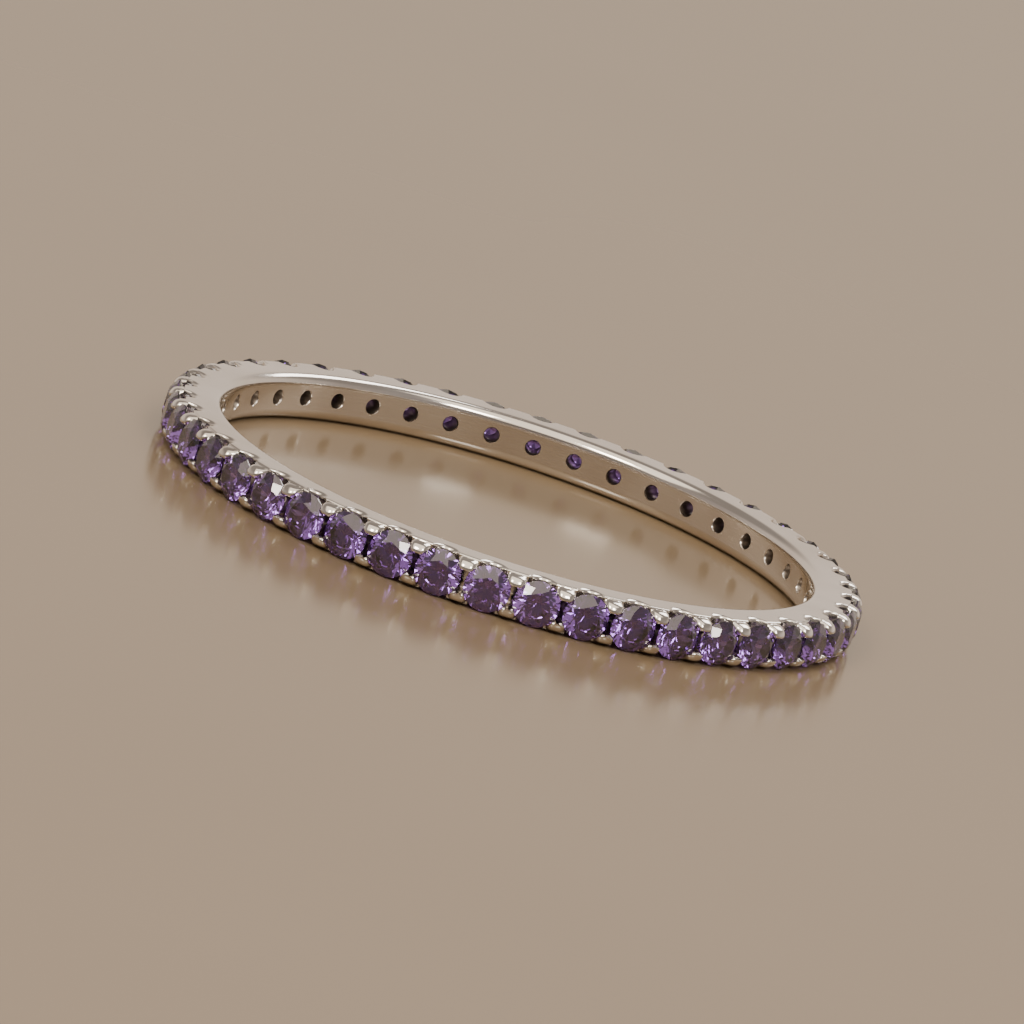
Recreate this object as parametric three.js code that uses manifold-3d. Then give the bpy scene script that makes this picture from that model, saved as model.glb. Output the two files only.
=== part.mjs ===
// A stackable eternity ring: one cast, polished band whose rim is set all the way round with
// round brilliant stones. Neighbouring stones share the prongs between them, the rim is cut down
// in a U under each stone, and a hole behind each stone opens into the bore.
// Millimetres. The ring lies on its side: its axis is +Z, its lower side face is at z = 0.
import * as THREE from "three";
import { mergeVertices } from "three/addons/utils/BufferGeometryUtils.js";
import Module from "manifold-3d";

const wasm = await Module();
wasm.setup();

// Driving dimensions of the band.
const BORE_DIAMETER = 17.35; // a US size 7 finger
const BASE_THICKNESS = 0.71; // metal between the bore and the tips of the stones
const SIDE_MARGIN = 0.01; // from a stone's widest line to the band's side face
const BORE_EDGE = 0.2; // comfort chamfer where the bore meets the side faces
const DECK_DROP = 0.15; // the rim between two stones lies this far under their girdles
const HOLE_DIAMETER = 0.42; // the opening behind each stone

// Driving dimensions of the stones and of their cut, which follows the diameter.
const STONE_DIAMETER = 1.32;
const LEAST_STONE_GAP = 0.09; // between the girdles of neighbours
const TABLE_SHARE = 0.57; // the flat top's diameter
const CROWN_SHARE = 0.155; // height above the girdle
const GIRDLE_SHARE = 0.03; // height of the girdle
const PAVILION_SHARE = 0.43; // depth below the girdle
const STAR_LENGTH = 0.5; // how far a star facet reaches from the table to the girdle
const LOWER_HALF_LENGTH = 0.75; // how far a lower half facet reaches from the girdle to the tip
const SEAT_CLEARANCE = 0.02; // between a stone and its seat

// Driving dimensions of the prongs and of the cut-downs between them.
const PRONG_INSET = 0.03; // from the side face to a prong's flank
const PRONG_WIDTH = 0.32; // along the ring's axis
const PRONG_LENGTH = 0.56; // round the rim
const PRONG_RISE = 0.22; // above the girdles
const PRONG_SHOULDER = 0.08; // where its head begins to taper, above the girdles
const PRONG_TOP_SHARE = 0.6; // of its width and length left at the top
const NOTCH_WIDTH = 0.84; // of the U under each stone
const NOTCH_DEPTH = 0.5; // of the U's floor below the girdle

// What follows from them.
const boreRadius = BORE_DIAMETER / 2;
const bandWidth = STONE_DIAMETER + 2 * SIDE_MARGIN;
const stoneRadius = STONE_DIAMETER / 2;
const tableRadius = stoneRadius * TABLE_SHARE;
const crownHeight = STONE_DIAMETER * CROWN_SHARE;
const girdleHeight = STONE_DIAMETER * GIRDLE_SHARE;
const pavilionDepth = STONE_DIAMETER * PAVILION_SHARE;
const girdleRadius = boreRadius + BASE_THICKNESS + pavilionDepth; // the girdles' lower edge
const deckRadius = girdleRadius - DECK_DROP;
const STONES_PER_QUARTER = Math.floor(
  (girdleRadius * Math.PI) / 2 / (STONE_DIAMETER + LEAST_STONE_GAP),
);
const stoneCount = 4 * STONES_PER_QUARTER;
const pitchAngle = (2 * Math.PI) / stoneCount;

const OVERRUN = 0.6; // how far a cutter runs past the faces that it opens
const STEPS_PER_STONE = 2; // of the round band
const SEAT_SIDES = 8; // one for each kite and each main of the stone
const NOTCH_STEPS = 4; // round the U
const PRONG_SIDES = 4;

// A closed geometry as a solid that can be joined and cut.
function solidOf(geometry) {
  const bare = geometry.clone();
  bare.deleteAttribute("normal");
  bare.deleteAttribute("uv");
  const merged = mergeVertices(bare, 1e-5);
  return new wasm.Manifold(
    new wasm.Mesh({
      numProp: 3,
      vertProperties: merged.attributes.position.array,
      triVerts: new Uint32Array(merged.index.array),
    }),
  );
}

// A solid as a geometry that a mesh can show.
function geometryOf(solid) {
  const mesh = solid.getMesh();
  const geometry = new THREE.BufferGeometry();
  geometry.setAttribute(
    "position",
    new THREE.BufferAttribute(mesh.vertProperties, 3),
  );
  geometry.setIndex(new THREE.BufferAttribute(mesh.triVerts, 1));
  const flat = geometry.toNonIndexed();
  flat.computeVertexNormals();
  return flat;
}

// A profile of [radius, height] pairs, running anticlockwise, turned round the Z axis.
function turned(profile, sides) {
  const points = profile.map(([radius, height]) => new THREE.Vector2(radius, height));
  return new THREE.LatheGeometry(points, sides).rotateX(Math.PI / 2);
}

// Where a stone sits: its own Z points out from the ring, its own Y runs along the ring's axis,
// and its own origin is the middle of its girdle's lower edge.
function station(content, angle) {
  content.position.set(girdleRadius, 0, bandWidth / 2);
  content.rotation.set(Math.PI / 2, Math.PI / 2, 0);
  const place = new THREE.Group();
  place.rotation.z = angle;
  place.add(content);
  return place;
}

// The same place as a matrix, for the tools that cut the band.
function stationMatrix(angle) {
  const marker = new THREE.Object3D();
  station(marker, angle).updateMatrixWorld(true);
  return marker.matrixWorld;
}

const atStation = (geometry, angle) =>
  solidOf(geometry.clone().applyMatrix4(stationMatrix(angle)));

// The tools of every station joined into one solid; offset is a share of the pitch.
function roundTheRim(geometries, offset = 0) {
  const solids = [];
  for (let i = 0; i < stoneCount; i += 1) {
    for (const geometry of geometries) {
      solids.push(atStation(geometry, (i + offset) * pitchAngle));
    }
  }
  return wasm.Manifold.union(solids);
}

// A round brilliant: a table, 8 stars, 8 kites and 16 upper halves above the girdle, and
// 16 lower halves and 8 mains below it. Kites and mains are flat, as they are ground.
function brilliantGeometry() {
  const half = Math.PI / 8;
  const starRadius =
    tableRadius * Math.cos(half) +
    STAR_LENGTH * (stoneRadius - tableRadius * Math.cos(half));
  const starHeight =
    girdleHeight +
    (crownHeight * (stoneRadius - starRadius * Math.cos(half))) /
      (stoneRadius - tableRadius);
  const lowerRadius = stoneRadius * (1 - LOWER_HALF_LENGTH);
  const lowerHeight =
    (-pavilionDepth * (stoneRadius - lowerRadius * Math.cos(half))) / stoneRadius;
  const at = (radius, step, height) => [
    radius * Math.cos(step * half),
    radius * Math.sin(step * half),
    height,
  ];
  const table = (k) => at(tableRadius, 2 * k, girdleHeight + crownHeight);
  const star = (k) => at(starRadius, 2 * k + 1, starHeight);
  const upper = (step) => at(stoneRadius, step, girdleHeight);
  const lower = (step) => at(stoneRadius, step, 0);
  const belly = (k) => at(lowerRadius, 2 * k + 1, lowerHeight);
  const tip = at(0, 0, -pavilionDepth);
  const faces = [];
  for (let k = 1; k < 7; k += 1) {
    faces.push([table(0), table(k), table(k + 1)]);
  }
  for (let k = 0; k < 8; k += 1) {
    const [corner, middle, next] = [2 * k, 2 * k + 1, 2 * k + 2];
    faces.push([table(k), star(k), table(k + 1)]);
    faces.push([table(k), star(k - 1), upper(corner)]);
    faces.push([table(k), upper(corner), star(k)]);
    faces.push([star(k), upper(corner), upper(middle)]);
    faces.push([star(k), upper(middle), upper(next)]);
    faces.push([lower(corner), belly(k), lower(middle)]);
    faces.push([lower(middle), belly(k), lower(next)]);
    faces.push([lower(corner), belly(k - 1), tip]);
    faces.push([lower(corner), tip, belly(k)]);
    for (const step of [corner, middle]) {
      faces.push([upper(step), lower(step), lower(step + 1)]);
      faces.push([upper(step), lower(step + 1), upper(step + 1)]);
    }
  }
  const geometry = new THREE.BufferGeometry();
  geometry.setAttribute(
    "position",
    new THREE.Float32BufferAttribute(faces.flat(2), 3),
  );
  geometry.computeVertexNormals();
  return geometry;
}

// A turned tool whose flat sides, not its corners, lie at the profile's radii. Its first flat
// side faces along X, as a stone's first kite does.
function prismatic(profile, sides) {
  const half = Math.PI / sides;
  const corners = profile.map(([radius, height]) => [radius / Math.cos(half), height]);
  return turned(corners, sides).rotateZ(half);
}

// The space of a stone with its clearance, open upwards: its kites and mains moved outwards.
function seatCutter() {
  const girdle = stoneRadius + SEAT_CLEARANCE;
  const table = tableRadius + SEAT_CLEARANCE;
  const crown = girdleHeight + crownHeight + SEAT_CLEARANCE;
  return prismatic(
    [
      [0, -pavilionDepth - SEAT_CLEARANCE],
      [girdle, 0],
      [girdle, girdleHeight + SEAT_CLEARANCE],
      [table, crown],
      [table, crown + OVERRUN],
      [0, crown + OVERRUN],
    ],
    SEAT_SIDES,
  );
}

// The drilled hole from the bore up into the seat.
function holeCutter() {
  const radius = HOLE_DIAMETER / 2;
  const top = -pavilionDepth * (1 - HOLE_DIAMETER / STONE_DIAMETER) + SEAT_CLEARANCE;
  const bottom = boreRadius - OVERRUN - girdleRadius;
  return prismatic(
    [
      [0, bottom],
      [radius, bottom],
      [radius, top],
      [0, top],
    ],
    SEAT_SIDES,
  );
}

// The U that is filed down through the rim under a stone, open upwards.
function notchCutter() {
  const radius = NOTCH_WIDTH / 2;
  const floor = radius - NOTCH_DEPTH;
  const outline = new THREE.Shape();
  outline.moveTo(radius, OVERRUN);
  outline.lineTo(-radius, OVERRUN);
  outline.lineTo(-radius, floor);
  outline.absarc(0, floor, radius, Math.PI, 2 * Math.PI, false);
  return new THREE.ExtrudeGeometry(outline, {
    depth: bandWidth + 2 * OVERRUN,
    bevelEnabled: false,
    curveSegments: NOTCH_STEPS,
  })
    .translate(0, 0, -bandWidth / 2 - OVERRUN)
    .rotateX(Math.PI / 2);
}

// One prong, from its root in the rim to its tapered head; side is 1 for the upper, -1 the lower.
function prong(side) {
  const top = girdleHeight + PRONG_RISE;
  const post = prismatic(
    [
      [0, -NOTCH_DEPTH],
      [1, -NOTCH_DEPTH],
      [1, girdleHeight + PRONG_SHOULDER],
      [PRONG_TOP_SHARE, top],
      [0, top],
    ],
    PRONG_SIDES,
  ).scale(PRONG_LENGTH / 2, PRONG_WIDTH / 2, 1);
  const reach = bandWidth / 2 - PRONG_INSET - PRONG_WIDTH / 2;
  return post.translate(0, side * reach, 0);
}

// The band's section: a bore with eased edges, flat side faces and a plain round rim.
function bandBlank() {
  return turned(
    [
      [boreRadius, BORE_EDGE],
      [boreRadius + BORE_EDGE, 0],
      [deckRadius, 0],
      [deckRadius, bandWidth],
      [boreRadius + BORE_EDGE, bandWidth],
      [boreRadius, bandWidth - BORE_EDGE],
      [boreRadius, BORE_EDGE],
    ],
    STEPS_PER_STONE * stoneCount,
  ).rotateZ(pitchAngle / STEPS_PER_STONE / 2);
}

// The cast band with its prongs, seats, cut-downs and holes.
function bandGeometry() {
  const prongs = roundTheRim([prong(1), prong(-1)], 0.5);
  const notches = roundTheRim([notchCutter()]);
  const seats = roundTheRim([seatCutter(), holeCutter()]);
  const rim = solidOf(bandBlank()).subtract(notches);
  return geometryOf(rim.add(prongs).subtract(seats));
}

const silver = new THREE.MeshStandardMaterial({
  name: "polished_silver",
  color: 0xd8d2ca,
  metalness: 1,
  roughness: 0.12,
});
const violetStone = new THREE.MeshStandardMaterial({
  name: "violet_stone",
  color: 0x5b3a9a,
  metalness: 0,
  roughness: 0.04,
});

const ring = new THREE.Group();
const band = new THREE.Mesh(bandGeometry(), silver);
band.name = "band";
ring.add(band);

const brilliant = brilliantGeometry();
for (let i = 0; i < stoneCount; i += 1) {
  const stone = new THREE.Mesh(brilliant, violetStone);
  stone.name = `stone_${String(i + 1).padStart(2, "0")}`;
  ring.add(station(stone, i * pitchAngle));
}

export default ring;
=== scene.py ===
"""A stackable eternity ring, lying on its side on a pale surface.

The band is one polished casting, worked out here as a surface round the finger opening. The
stones are the frame's own brilliant-cut solids, with a clear violet finish.
"""

import math

import bpy
import numpy as np
from mathutils import Matrix, Vector


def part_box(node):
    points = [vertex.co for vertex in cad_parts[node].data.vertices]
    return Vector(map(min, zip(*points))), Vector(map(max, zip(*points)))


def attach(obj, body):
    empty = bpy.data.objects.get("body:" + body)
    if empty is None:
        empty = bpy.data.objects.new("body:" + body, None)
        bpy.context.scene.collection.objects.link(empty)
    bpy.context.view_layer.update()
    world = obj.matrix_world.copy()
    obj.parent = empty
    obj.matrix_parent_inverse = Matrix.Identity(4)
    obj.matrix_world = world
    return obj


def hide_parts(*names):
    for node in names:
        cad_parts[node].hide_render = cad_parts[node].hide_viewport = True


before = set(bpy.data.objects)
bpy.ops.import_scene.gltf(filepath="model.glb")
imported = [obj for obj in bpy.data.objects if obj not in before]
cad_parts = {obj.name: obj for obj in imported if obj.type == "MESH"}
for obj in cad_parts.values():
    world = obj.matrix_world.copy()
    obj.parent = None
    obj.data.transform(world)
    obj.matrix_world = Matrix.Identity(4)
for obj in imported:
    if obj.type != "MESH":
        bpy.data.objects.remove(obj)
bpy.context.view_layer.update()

MM = 0.001

# Stones, in millimetres, from the frame's own solids.
PAVILION_SHARE = 0.86  # of their radius that they reach below their girdles
stone_names = sorted(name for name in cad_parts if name.startswith("stone_"))
first_low, first_high = (np.array(corner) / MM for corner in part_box("stone_01"))
band_low, band_high = (np.array(corner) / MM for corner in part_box("band"))
stone_count = len(stone_names)
stone_radius = first_high[1]  # stone_01 sits on the X axis
pavilion_depth = PAVILION_SHARE * stone_radius
girdle_radius = first_low[0] + pavilion_depth

# Band, in millimetres.
BORE_RADIUS = 8.675
band_width = band_high[2] - band_low[2]
BORE_ROUNDING = 0.26  # where the bore meets the side faces
RIM_ROUNDING = 0.05  # where the rim meets the side faces
DECK_HEIGHT = -0.15  # of the rim beside the prongs, from the girdles
VALLEY_DEPTH = 0.4  # of the hollow between two stones, below the deck
U_HALF_WIDTH = 0.42  # of the cut-down under each stone
U_DEPTH = 0.44  # of its lowest line, from the girdles
U_ROUNDING = 0.12  # where its floor meets the side faces
SEAT_CLEARANCE = 0.02
CLAW_OVERLAP = 0.03  # how far the prongs reach in over the stones' edges
HOLE_RADIUS = 0.21
HOLE_BEVEL = 0.025  # how much wider the mouth in the bore is
HOLE_BEVEL_DEPTH = 0.04

# Prongs, in millimetres: blocks with rounded edges, one at each edge between two stones. Their
# tops slope down towards the side face.
PRONG_TOP = 0.2  # of their middle, over the girdles
PRONG_SLOPE = 0.5
PRONG_HALF_LENGTH = 0.29
PRONG_HALF_WIDTH = 0.18
PRONG_SET_IN = 0.04  # from the side face
PRONG_EDGE_POWER = 3.5  # the higher it is, the tighter their tops' edges turn

half_pitch = math.pi * girdle_radius / stone_count
prong_middle = band_width / 2 - PRONG_SET_IN - PRONG_HALF_WIDTH

# Grid cells, from a stone's middle outwards.
HOLE_CELLS = 4
SEAT_CELLS = 3
WALL_CELLS = 3
PRONG_CELLS = 6
WALL_HALF_WIDTH = 0.015

# Grid cells across the band: beside the hole, over a prong, over the rim's edge, beside the
# hole's mouth in the bore, round the bore's edge and over the side face.
DECK_CELLS = 2
PRONG_ROW_CELLS = 10
RIM_EDGE_CELLS = 3
BORE_CELLS = 3
BORE_EDGE_CELLS = 5
FACE_CELLS = 4

SHARP_ANGLE = math.radians(50)  # edges that turn by more than this stay crisp


def colour(code):
    """An sRGB hex code as linear red, green and blue with an alpha of 1."""
    parts = np.array([int(code[k : k + 2], 16) for k in (1, 3, 5)]) / 255
    linear = np.where(parts <= 0.04045, parts / 12.92, ((parts + 0.055) / 1.055) ** 2.4)
    return (*linear, 1.0)


def add_node(tree, kind, inputs=(), **settings):
    """Adds one node, with its settings, and gives its inputs values or links."""
    node = tree.nodes.new(kind)
    for name, value in settings.items():
        setattr(node, name, value)
    for name, value in dict(inputs).items():
        if isinstance(value, bpy.types.NodeSocket):
            tree.links.new(value, node.inputs[name])
        else:
            node.inputs[name].default_value = value
    return node


# ---- The band's surface.


def round_the_hole(along, across, radius):
    """Turns the square of half-side radius round a stone's middle into a circle.

    A point on the square at (a, b) shares of the radius moves to (a sqrt(1 - b b / 2),
    b sqrt(1 - a a / 2)), which lies on the circle. Points outside move by the same amount,
    faded to nothing at one and a half times the radius.
    """
    reach = np.maximum(np.maximum(np.abs(along), np.abs(across)) / radius, 1e-6)
    a = along / radius / reach
    b = across / radius / reach
    fade = radius * np.clip(3 - 2 * reach, 0, 1)
    return (
        along + fade * a * (np.sqrt(1 - b * b / 2) - 1),
        across + fade * b * (np.sqrt(1 - a * a / 2) - 1),
    )


def rim_height(along, across, outside):
    """Height of the rim over the girdle line at a place near a stone.

    A prong rises from the deck to its sloping top as sqrt(1 - s^3.5), where s is the place's
    superelliptic distance from the prong's middle, 1 at its edge. Between the two rows of
    prongs the deck sinks as a parabola. The U's floor is half an oval that turns down into
    the side faces as a quarter circle. Where outside is 0 the lowest of the deck, the seat's
    cone and the U's floor holds, where it is 1 the deck with its prongs does.
    """
    sideways = np.abs(across)
    lengthwise = np.abs(np.abs(along) - half_pitch) / PRONG_HALF_LENGTH
    widthwise = np.abs(sideways - prong_middle) / PRONG_HALF_WIDTH
    edge_share = np.clip(np.cbrt(lengthwise**3 + widthwise**3), 0, 1)
    top = PRONG_TOP - PRONG_SLOPE * (sideways - prong_middle)
    valley = np.clip(1 - (across / (prong_middle - PRONG_HALF_WIDTH)) ** 2, 0, 1)
    deck = DECK_HEIGHT - VALLEY_DEPTH * valley
    prong = deck + (top - DECK_HEIGHT) * np.sqrt(1 - edge_share**PRONG_EDGE_POWER)
    from_middle = np.hypot(along, across)
    seat = -pavilion_depth * (1 - from_middle / stone_radius) - SEAT_CLEARANCE
    past_rounding = np.clip(sideways - band_width / 2 + U_ROUNDING, 0, U_ROUNDING)
    turned_down = U_ROUNDING - np.sqrt(U_ROUNDING**2 - past_rounding**2)
    oval = np.sqrt(np.clip(1 - (along / U_HALF_WIDTH) ** 2, 0, None))
    u_floor = -(U_DEPTH + turned_down) * oval
    cut = np.minimum(np.minimum(seat, u_floor), deck)
    return cut + (prong - cut) * outside


def column_places(hole, cut, half_length):
    """Places of the columns of one stone, from its left-hand prong to its right-hand one.

    Each row's columns are packed where its wall stands: even steps up to the hole's edge and
    on to the wall, three steps across the wall, then steps that grow as 1 - cos towards the
    prong's middle. The left half mirrors the right.
    """
    hole, cut = hole[:, None], cut[:, None]
    in_hole = hole * np.linspace(0, 1, HOLE_CELLS + 1)
    in_seat = hole + (cut - WALL_HALF_WIDTH - hole) * np.linspace(0, 1, SEAT_CELLS + 1)
    in_wall = cut + WALL_HALF_WIDTH * np.linspace(-1, 1, WALL_CELLS + 1)
    growth = 1 - np.cos(np.linspace(0, math.pi / 2, PRONG_CELLS + 1))
    past_wall = cut + WALL_HALF_WIDTH
    in_prong = past_wall + (half_length - past_wall) * growth
    right = np.hstack([in_hole, in_seat[:, 1:], in_wall[:, 1:], in_prong[:, 1:]])
    return np.hstack([-right[:, :0:-1], right[:, :-1]])


def wall_share():
    """For each column of one stone, 0 inside the cut, 1 outside it, and rising in the wall."""
    inside = HOLE_CELLS + SEAT_CELLS
    steps = (np.arange(inside + WALL_CELLS + PRONG_CELLS + 1) - inside) / WALL_CELLS
    rise = np.clip(steps, 0, 1)
    right = rise * rise * (3 - 2 * rise)
    return np.concatenate([right[:0:-1], right[:-1]])


def rim_rows():
    """Places across the band of the rim's rows, from the upper side face to the lower one.

    Even steps over the hole and up to the prong, steps as the cosine over the prong, so that
    they are close at its flanks, and a quarter circle at the edge. Also gives how far the
    edge's rounding lowers each row.
    """
    hole_rows = np.linspace(0, HOLE_RADIUS, HOLE_CELLS + 1)
    flank = prong_middle - PRONG_HALF_WIDTH
    between = np.linspace(HOLE_RADIUS, flank, DECK_CELLS + 1)[1:]
    half_turn = np.linspace(0, math.pi, PRONG_ROW_CELLS + 1)[1:]
    over_prong = prong_middle - PRONG_HALF_WIDTH * np.cos(half_turn)
    turn = np.linspace(0, math.pi / 2, RIM_EDGE_CELLS + 1)[1:]
    over_edge = band_width / 2 - RIM_ROUNDING * (1 - np.sin(turn))
    half = np.concatenate([hole_rows, between, over_prong, over_edge])
    lowered = np.zeros_like(half)
    lowered[-RIM_EDGE_CELLS:] = RIM_ROUNDING * (1 - np.cos(turn))
    return (
        np.concatenate([half[::-1], -half[1:]]),
        np.concatenate([lowered[::-1], lowered[1:]]),
    )


def rim_patch():
    """Turn, radius and height across the band of the rim's points at one stone."""
    across, lowered = rim_rows()
    claw = stone_radius - CLAW_OVERLAP
    seat_edge = np.sqrt(np.clip(claw**2 - across**2, 0, None))
    cut = np.maximum(seat_edge, U_HALF_WIDTH)
    along = column_places(np.full_like(across, HOLE_RADIUS), cut, half_pitch)
    across = np.repeat(across[:, None], along.shape[1], axis=1)
    along, across = round_the_hole(along, across, HOLE_RADIUS)
    height = rim_height(along, across, wall_share()[None, :]) - lowered[:, None]
    return along / girdle_radius, girdle_radius + height, across


def cast_skin_and_shade_in_seat(turn, across):
    """Mask of the rougher cast skin and of the painted shade in a seat: 1 deep in it, fading to
    0 over the last third of the way to the stone's edge.
    """
    from_middle = np.hypot(turn * girdle_radius, across) / stone_radius
    return np.clip(3 - 3 * from_middle, 0, 1)


def bore_patch():
    """Turn, radius and height across the band of the bore's points at one stone."""
    mouth = HOLE_RADIUS + HOLE_BEVEL
    edge = band_width / 2 - BORE_ROUNDING
    hole_rows = np.linspace(-mouth, mouth, 2 * HOLE_CELLS + 1)
    beside = np.linspace(mouth, edge, BORE_CELLS + 1)[1:]
    across = np.concatenate([-beside[::-1], hole_rows, beside])
    half_length = half_pitch * BORE_RADIUS / girdle_radius
    along = column_places(
        np.full_like(across, mouth), np.full_like(across, U_HALF_WIDTH), half_length
    )
    across = np.repeat(across[:, None], along.shape[1], axis=1)
    along, across = round_the_hole(along, across, mouth)
    return along / BORE_RADIUS, np.full_like(along, BORE_RADIUS), across


def side_patch(bore_edge, rim_edge, side):
    """Points of one side face, from the bore's last row to the rim's first one.

    A quarter circle turns from the bore into the flat face, which runs on to the rim's edge.
    The columns turn evenly from the bore's places into the rim's. side is 1 or -1.
    """
    bore_turn, rim_turn = bore_edge[0], rim_edge[0]
    rounding = np.linspace(0, math.pi / 2, BORE_EDGE_CELLS + 1)[1:, None]
    rounded_radius = BORE_RADIUS + BORE_ROUNDING * (1 - np.cos(rounding))
    rounded_across = side * (band_width / 2 - BORE_ROUNDING * (1 - np.sin(rounding)))
    face_share = np.linspace(0, 1, FACE_CELLS + 1)[1:-1, None]
    face_start = BORE_RADIUS + BORE_ROUNDING
    face_radius = face_start + (rim_edge[1] - face_start) * face_share
    radius = np.vstack([rounded_radius + np.zeros_like(bore_turn), face_radius])
    across = np.vstack(
        [
            rounded_across + np.zeros_like(bore_turn),
            np.full_like(face_radius, side * band_width / 2),
        ]
    )
    share = (radius - BORE_RADIUS) / (rim_edge[1] - BORE_RADIUS)
    return bore_turn + (rim_turn - bore_turn) * share, radius, across


def edge_of(patch, row):
    """One row of a patch's turn, radius and height across the band."""
    return [part[row] for part in patch]


def square_edge(cells):
    """Row and column steps round the edge of a square of cells, as two closed lists."""
    step = np.arange(cells)
    low, high = np.zeros(cells, int), np.full(cells, cells)
    rows = np.concatenate([low, step, high, cells - step])
    columns = np.concatenate([step, high, cells - step, low])
    return rows, columns


def band_mesh():
    """The whole casting: one closed skin round the finger opening, pierced at each stone.

    At one stone the skin runs over the bore, up one side face, over the rim and down the
    other. That patch is turned to every stone. The squares of cells at the bore and at the
    seat are left out, and a short tube with a bevelled mouth joins their edges.
    """
    bore = bore_patch()
    rim = rim_patch()
    upper = side_patch(edge_of(bore, -1), edge_of(rim, 0), 1)
    lower = side_patch(edge_of(bore, 0), edge_of(rim, -1), -1)
    turn, radius, across = (
        np.vstack([inner, up, outer, np.flipud(down)])
        for inner, up, outer, down in zip(bore, upper, rim, lower)
    )
    rows, columns = turn.shape
    stone_turns = np.arange(stone_count) * 2 * math.pi / stone_count
    whole_turn = (stone_turns[None, :, None] + turn[:, None, :]).reshape(rows, -1)
    whole_radius = np.tile(radius, stone_count)
    whole_across = np.tile(across, stone_count)
    points = [
        whole_radius * np.cos(whole_turn),
        whole_radius * np.sin(whole_turn),
        whole_across + band_width / 2,
    ]
    total = columns * stone_count

    cells = 2 * HOLE_CELLS
    first_column = columns // 2 - HOLE_CELLS
    bore_row = (len(bore[0]) - 1) // 2 - HOLE_CELLS
    rim_row = len(bore[0]) + len(upper[0]) + (len(rim[0]) - 1) // 2 - HOLE_CELLS
    row, column = np.meshgrid(np.arange(rows), np.arange(total), indexing="ij")
    in_columns = (column % columns >= first_column) & (column % columns < first_column + cells)
    in_rows = ((row >= bore_row) & (row < bore_row + cells)) | (
        (row >= rim_row) & (row < rim_row + cells)
    )
    kept = ~(in_columns & in_rows)
    next_row, next_column = (row + 1) % rows, (column + 1) % total
    quads = np.stack(
        [
            row * total + column,
            row * total + next_column,
            next_row * total + next_column,
            next_row * total + column,
        ],
        axis=-1,
    )[kept]

    edge_rows, edge_columns = square_edge(cells)
    stone_columns = first_column + np.arange(stone_count)[:, None] * columns + edge_columns
    mouth_ring = (bore_row + edge_rows) * total + stone_columns
    seat_ring = (rim_row + cells - edge_rows) * total + stone_columns
    mouth_turn = whole_turn.ravel()[mouth_ring] - stone_turns[:, None]
    mouth_across = whole_across.ravel()[mouth_ring]
    shrink = HOLE_RADIUS / (HOLE_RADIUS + HOLE_BEVEL)
    throat_turn = stone_turns[:, None] + mouth_turn * shrink
    throat = [
        (BORE_RADIUS + HOLE_BEVEL_DEPTH) * np.cos(throat_turn),
        (BORE_RADIUS + HOLE_BEVEL_DEPTH) * np.sin(throat_turn),
        mouth_across * shrink + band_width / 2,
    ]
    throat_ring = rows * total + np.arange(throat_turn.size).reshape(throat_turn.shape)
    tubes = [
        np.stack([near, np.roll(near, -1, axis=1), np.roll(far, -1, axis=1), far], axis=-1)
        for near, far in ((mouth_ring, throat_ring), (throat_ring, seat_ring))
    ]
    faces = np.concatenate([quads, *(tube.reshape(-1, 4) for tube in tubes)])
    vertices = np.stack(
        [np.concatenate([skin.ravel(), ring.ravel()]) for skin, ring in zip(points, throat)],
        axis=-1,
    )
    # Mask of the rougher cast skin and of the painted shade: set in the seats and all through
    # the holes' tubes.
    cast_skin_and_shade = np.zeros((rows, columns))
    rim_start = len(bore[0]) + len(upper[0])
    cast_skin_and_shade[rim_start : rim_start + len(rim[0])] = cast_skin_and_shade_in_seat(rim[0], rim[2])
    cast_skin_and_shade = np.concatenate(
        [np.tile(cast_skin_and_shade, stone_count).ravel(), np.ones(throat_turn.size)]
    )
    return closed_mesh("band_casting", vertices * MM, faces, cast_skin_and_shade)


def closed_mesh(name, vertices, faces, cast_skin_and_shade):
    """A smooth mesh of quads with its unused vertices left out and its faces outward."""
    used, faces = np.unique(faces, return_inverse=True)
    faces = faces.reshape(-1, 4)
    vertices = vertices[used]
    corners = vertices[faces]
    first = np.cross(corners[:, 1] - corners[:, 0], corners[:, 2] - corners[:, 0])
    second = np.cross(corners[:, 2] - corners[:, 0], corners[:, 3] - corners[:, 0])
    if np.sum((first + second) * corners.mean(axis=1)) < 0:
        faces = faces[:, ::-1]
    mesh = bpy.data.meshes.new(name)
    mesh.from_pydata(vertices, [], faces)
    mesh.polygons.foreach_set("use_smooth", np.ones(len(faces), bool))
    # The mask of the cast skin and its painted shade is stored as a point attribute.
    mesh.attributes.new("cast_skin_and_shade", "FLOAT", "POINT").data.foreach_set(
        "value", cast_skin_and_shade[used]
    )
    mesh.set_sharp_from_angle(angle=SHARP_ANGLE)
    mesh.validate()
    return mesh


# ---- Materials.


def new_material(name):
    """A material, with its node tree, its shader and the place on the object."""
    material = bpy.data.materials.new(name)
    material.use_nodes = True
    tree = material.node_tree
    place = add_node(tree, "ShaderNodeTexCoord").outputs["Object"]
    return material, tree, tree.nodes["Principled BSDF"], place


def noise(tree, place, size, detail, roughness=0.5):
    """Noise with features about size metres across."""
    inputs = {"Vector": place, "Scale": 1 / size, "Detail": detail, "Roughness": roughness}
    return add_node(tree, "ShaderNodeTexNoise", inputs).outputs["Fac"]


def tone_ramp(tree, factor, *stops):
    """A tone that runs through stops, each a position and a hex code, as the factor rises."""
    node = add_node(tree, "ShaderNodeValToRGB", {"Fac": factor})
    elements = node.color_ramp.elements
    while len(elements) < len(stops):
        elements.new(0.5)
    for element, (position, code) in zip(elements, stops):
        element.position = position
        element.color = colour(code)
    return node.outputs["Color"]


def mix(tree, kind, share, first, second):
    """The first value where share is 0, the second where it is 1.

    The node has sockets of its own for each kind: two inputs and one result.
    """
    low, high, result = {"FLOAT": (2, 3, 0), "RGBA": (6, 7, 2)}[kind]
    inputs = {0: share, low: first, high: second}
    return add_node(tree, "ShaderNodeMix", inputs, data_type=kind).outputs[result]


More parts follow.
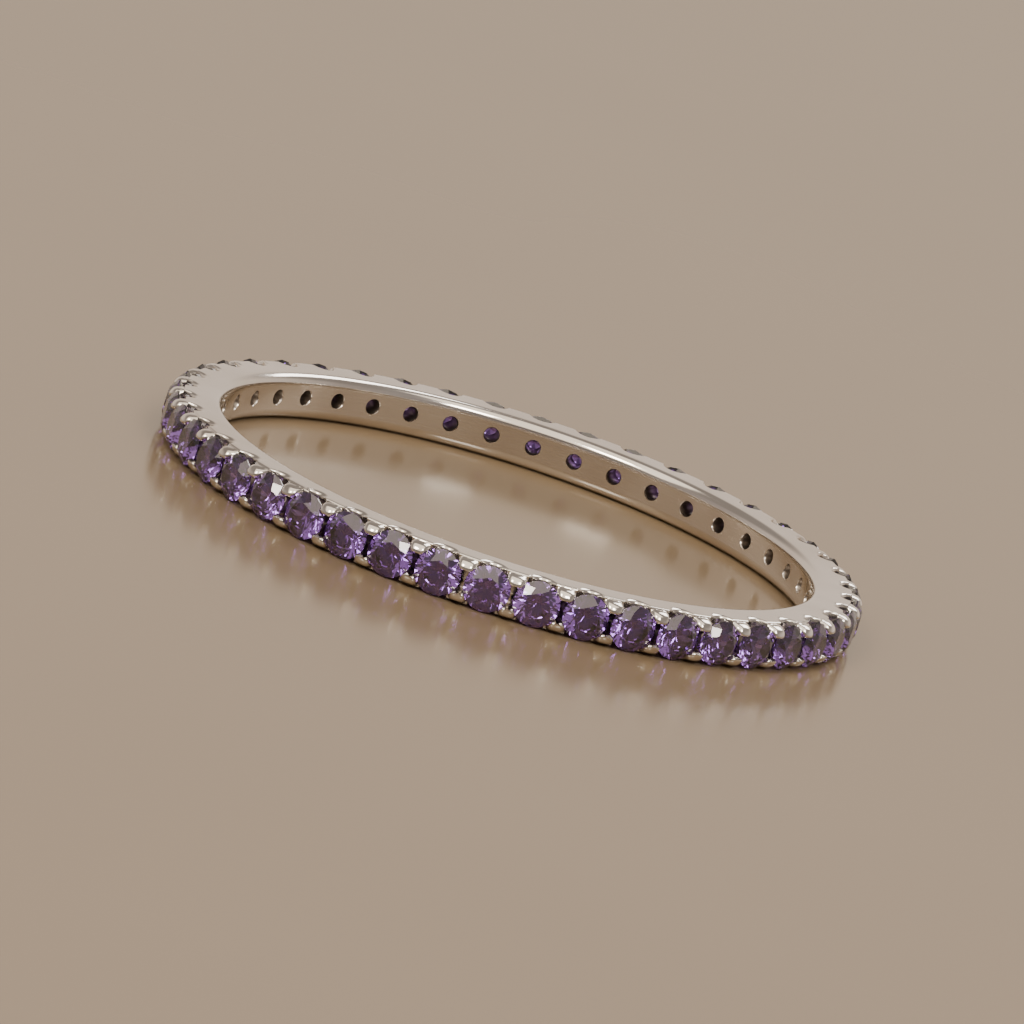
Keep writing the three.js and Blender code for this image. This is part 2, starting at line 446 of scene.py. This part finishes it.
def polished_rhodium_silver():
    """Sterling silver, cast, buffed and rhodium plated.

    The eye sees an almost white mirror with fine buffing lines that follow the band, and a
    rougher cast skin in the seats and holes where no buff reaches. That skin is painted a
    greyer tone, which is partly painted shade in these recesses.
    """
    material, tree, shader, place = new_material("polished_rhodium_silver")
    shader.inputs["Metallic"].default_value = 1.0
    # Plating tone drifts over about 3 mm.
    drift = noise(tree, place, 3 * MM, detail=2.0)
    tone = tone_ramp(tree, drift, (0.3, "#DDD6CF"), (0.7, "#EFEBE6"))
    # One mask covers the seats and holes. It gives a real rougher cast finish and a darker grey
    # colour, and the darker grey is partly painted shade in these recesses.
    attribute = add_node(tree, "ShaderNodeAttribute", attribute_name="cast_skin_and_shade")
    cast_skin_and_shade = attribute.outputs["Fac"]
    metal = mix(tree, "RGBA", cast_skin_and_shade, tone, colour("#A59D96"))
    tree.links.new(metal, shader.inputs["Base Color"])
    # Buffing haze comes and goes over about 0.8 mm.
    haze = noise(tree, place, 0.8 * MM, detail=3.0, roughness=0.6)
    buffed = add_node(
        tree, "ShaderNodeMapRange", {"Value": haze, "To Min": 0.08, "To Max": 0.17}
    )
    cast_roughness = 0.32
    finish = mix(tree, "FLOAT", cast_skin_and_shade, buffed.outputs["Result"], cast_roughness)
    tree.links.new(finish, shader.inputs["Roughness"])
    # Buffing lines run round the band, so the pattern reads only the distance from the axis
    # and the height: lines 0.06 mm apart, coarser than real ones so that they show.
    flat = add_node(
        tree, "ShaderNodeVectorMath", {0: place, 1: (1, 1, 0)}, operation="MULTIPLY"
    )
    distance = add_node(
        tree, "ShaderNodeVectorMath", {0: flat.outputs["Vector"]}, operation="LENGTH"
    )
    split = add_node(tree, "ShaderNodeSeparateXYZ", {"Vector": place})
    section = add_node(
        tree,
        "ShaderNodeCombineXYZ",
        {"X": distance.outputs["Value"], "Y": split.outputs["Z"]},
    )
    lines = noise(tree, section.outputs["Vector"], 0.06 * MM, detail=2.0)
    bump = add_node(
        tree, "ShaderNodeBump", {"Height": lines, "Strength": 0.05, "Distance": 0.01 * MM}
    )
    tree.links.new(bump.outputs["Normal"], shader.inputs["Normal"])
    return material


def clear_violet_zirconia():
    """Violet cubic zirconia, cut and polished as a brilliant.

    The eye sees sharp flat facets, deep violet in the body and pale lilac where light comes
    straight back, and no two neighbours quite the same.
    """
    material, tree, shader, place = new_material("clear_violet_zirconia")
    shader.inputs["Transmission Weight"].default_value = 1.0
    shader.inputs["IOR"].default_value = 2.15
    shader.inputs["Roughness"].default_value = 0.0
    # Growth of the crystal and the cutter's choice: the violet changes from stone to stone.
    drift = noise(tree, place, 2.5 * MM, detail=1.0)
    tone = tone_ramp(tree, drift, (0.32, "#9C7BC4"), (0.68, "#C8AEE6"))
    tree.links.new(tone, shader.inputs["Base Color"])
    # The body takes in green most: a path of 1 mm keeps 55% of the red, 45% of the green and
    # 68% of the blue.
    body = add_node(
        tree, "ShaderNodeVolumeAbsorption", {"Color": colour("#AB7ACD"), "Density": 1000.0}
    )
    tree.links.new(body.outputs["Volume"], tree.nodes["Material Output"].inputs["Volume"])
    return material


def pale_lacquered_board():
    """A smooth board, sprayed and rubbed to a soft sheen.

    The eye sees an even warm grey that mirrors the ring faintly where it stands.
    """
    material, tree, shader, place = new_material("pale_lacquered_board")
    drift = noise(tree, place, 30 * MM, detail=2.0)
    tone = tone_ramp(tree, drift, (0.0, "#7B6A54"), (1.0, "#83725C"))
    tree.links.new(tone, shader.inputs["Base Color"])
    shader.inputs["Roughness"].default_value = 0.16
    return material


# ---- The ring.

silver = polished_rhodium_silver()
band = bpy.data.objects.new("band_casting", band_mesh())
bpy.context.collection.objects.link(band)
band.data.materials.append(silver)
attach(band, "root")
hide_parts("band")

violet = clear_violet_zirconia()
for name in stone_names:
    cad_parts[name].data.materials.clear()
    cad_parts[name].data.materials.append(violet)


# ---- The surface, the light and the camera.

FLOOR_HALF_WIDTH = 3.0  # in metres
FLOOR_DROP = 0.02 * MM  # keeps the lower side face from lying in the same plane

floor_mesh = bpy.data.meshes.new("floor")
floor_mesh.from_pydata(
    [
        (x * FLOOR_HALF_WIDTH, y * FLOOR_HALF_WIDTH, -FLOOR_DROP)
        for x, y in ((-1, -1), (1, -1), (1, 1), (-1, 1))
    ],
    [],
    [(0, 1, 2, 3)],
)
floor = bpy.data.objects.new("floor", floor_mesh)
floor.data.materials.append(pale_lacquered_board())
bpy.context.collection.objects.link(floor)

AIM = Vector((0, 0, band_width * MM / 2))


def facing(position, target, roll=0.0):
    """The turn that points an object's -Z from a position to a target, rolled anticlockwise."""
    look = (Vector(target) - Vector(position)).to_track_quat("-Z", "Y").to_matrix()
    return (look @ Matrix.Rotation(roll, 3, "Z")).to_euler()


def softbox(name, position, size, watts, tint):
    """A square area light that faces the ring."""
    light = bpy.data.lights.new(name, "AREA")
    light.size = size
    light.energy = watts
    light.color = colour(tint)[:3]
    lamp = bpy.data.objects.new(name, light)
    lamp.location = position
    lamp.rotation_euler = facing(position, AIM)
    bpy.context.collection.objects.link(lamp)


softbox("front_softbox", (-0.11, -0.33, 0.64), size=1.1, watts=5.4, tint="#FFF0DA")
softbox("left_softbox", (-0.27, -0.41, 0.42), size=0.18, watts=1.6, tint="#FFF4E4")
softbox("right_softbox", (0.25, -0.43, 0.41), size=0.18, watts=1.5, tint="#FFF6EA")
softbox("back_softbox", (0.26, 0.46, 0.54), size=0.34, watts=2.2, tint="#FFF8F0")


def studio_world():
    """Light of a room: a pale wall behind the ring, dimmer in front and overhead."""
    world = bpy.data.worlds.new("studio")
    bpy.context.scene.world = world
    world.use_nodes = True
    tree = world.node_tree
    background = tree.nodes["Background"]
    direction = add_node(tree, "ShaderNodeTexCoord").outputs["Generated"]
    split = add_node(tree, "ShaderNodeSeparateXYZ", {"Vector": direction})
    towards_back = add_node(
        tree,
        "ShaderNodeMapRange",
        {"Value": split.outputs["Y"], "From Min": -1.0, "From Max": 1.0},
    )
    walls = tone_ramp(
        tree,
        towards_back.outputs["Result"],
        (0.02, "#766D66"),
        (0.45, "#A89C93"),
        (0.85, "#E0CFBF"),
    )
    height = add_node(
        tree,
        "ShaderNodeMapRange",
        {"Value": split.outputs["Z"], "From Min": 0.3, "From Max": 0.6},
        interpolation_type="SMOOTHSTEP",
    )
    room = mix(tree, "RGBA", height.outputs["Result"], walls, colour("#8C837B"))
    tree.links.new(room, background.inputs["Color"])
    background.inputs["Strength"].default_value = 1.2


studio_world()

# The photo's camera, worked out from the stones' places in the picture: its height over the
# ring's plane, its distance and its roll. The lens is longer, so that the ring fills the frame.
CAMERA_ELEVATION = math.radians(12.82)
CAMERA_DISTANCE = 0.422  # in metres
CAMERA_ROLL = math.radians(18.05)
LENS = 530  # in millimetres, as the sensor's width
SENSOR_WIDTH = 36

camera = bpy.data.objects.new("camera", bpy.data.cameras.new("camera"))
camera.data.lens = LENS
camera.data.sensor_width = SENSOR_WIDTH
camera.location = AIM + CAMERA_DISTANCE * Vector(
    (0, -math.cos(CAMERA_ELEVATION), math.sin(CAMERA_ELEVATION))
)
camera.rotation_euler = facing(camera.location, AIM, CAMERA_ROLL)
camera.data.clip_start = 0.01
camera.data.clip_end = 20
bpy.context.collection.objects.link(camera)
bpy.context.scene.camera = camera
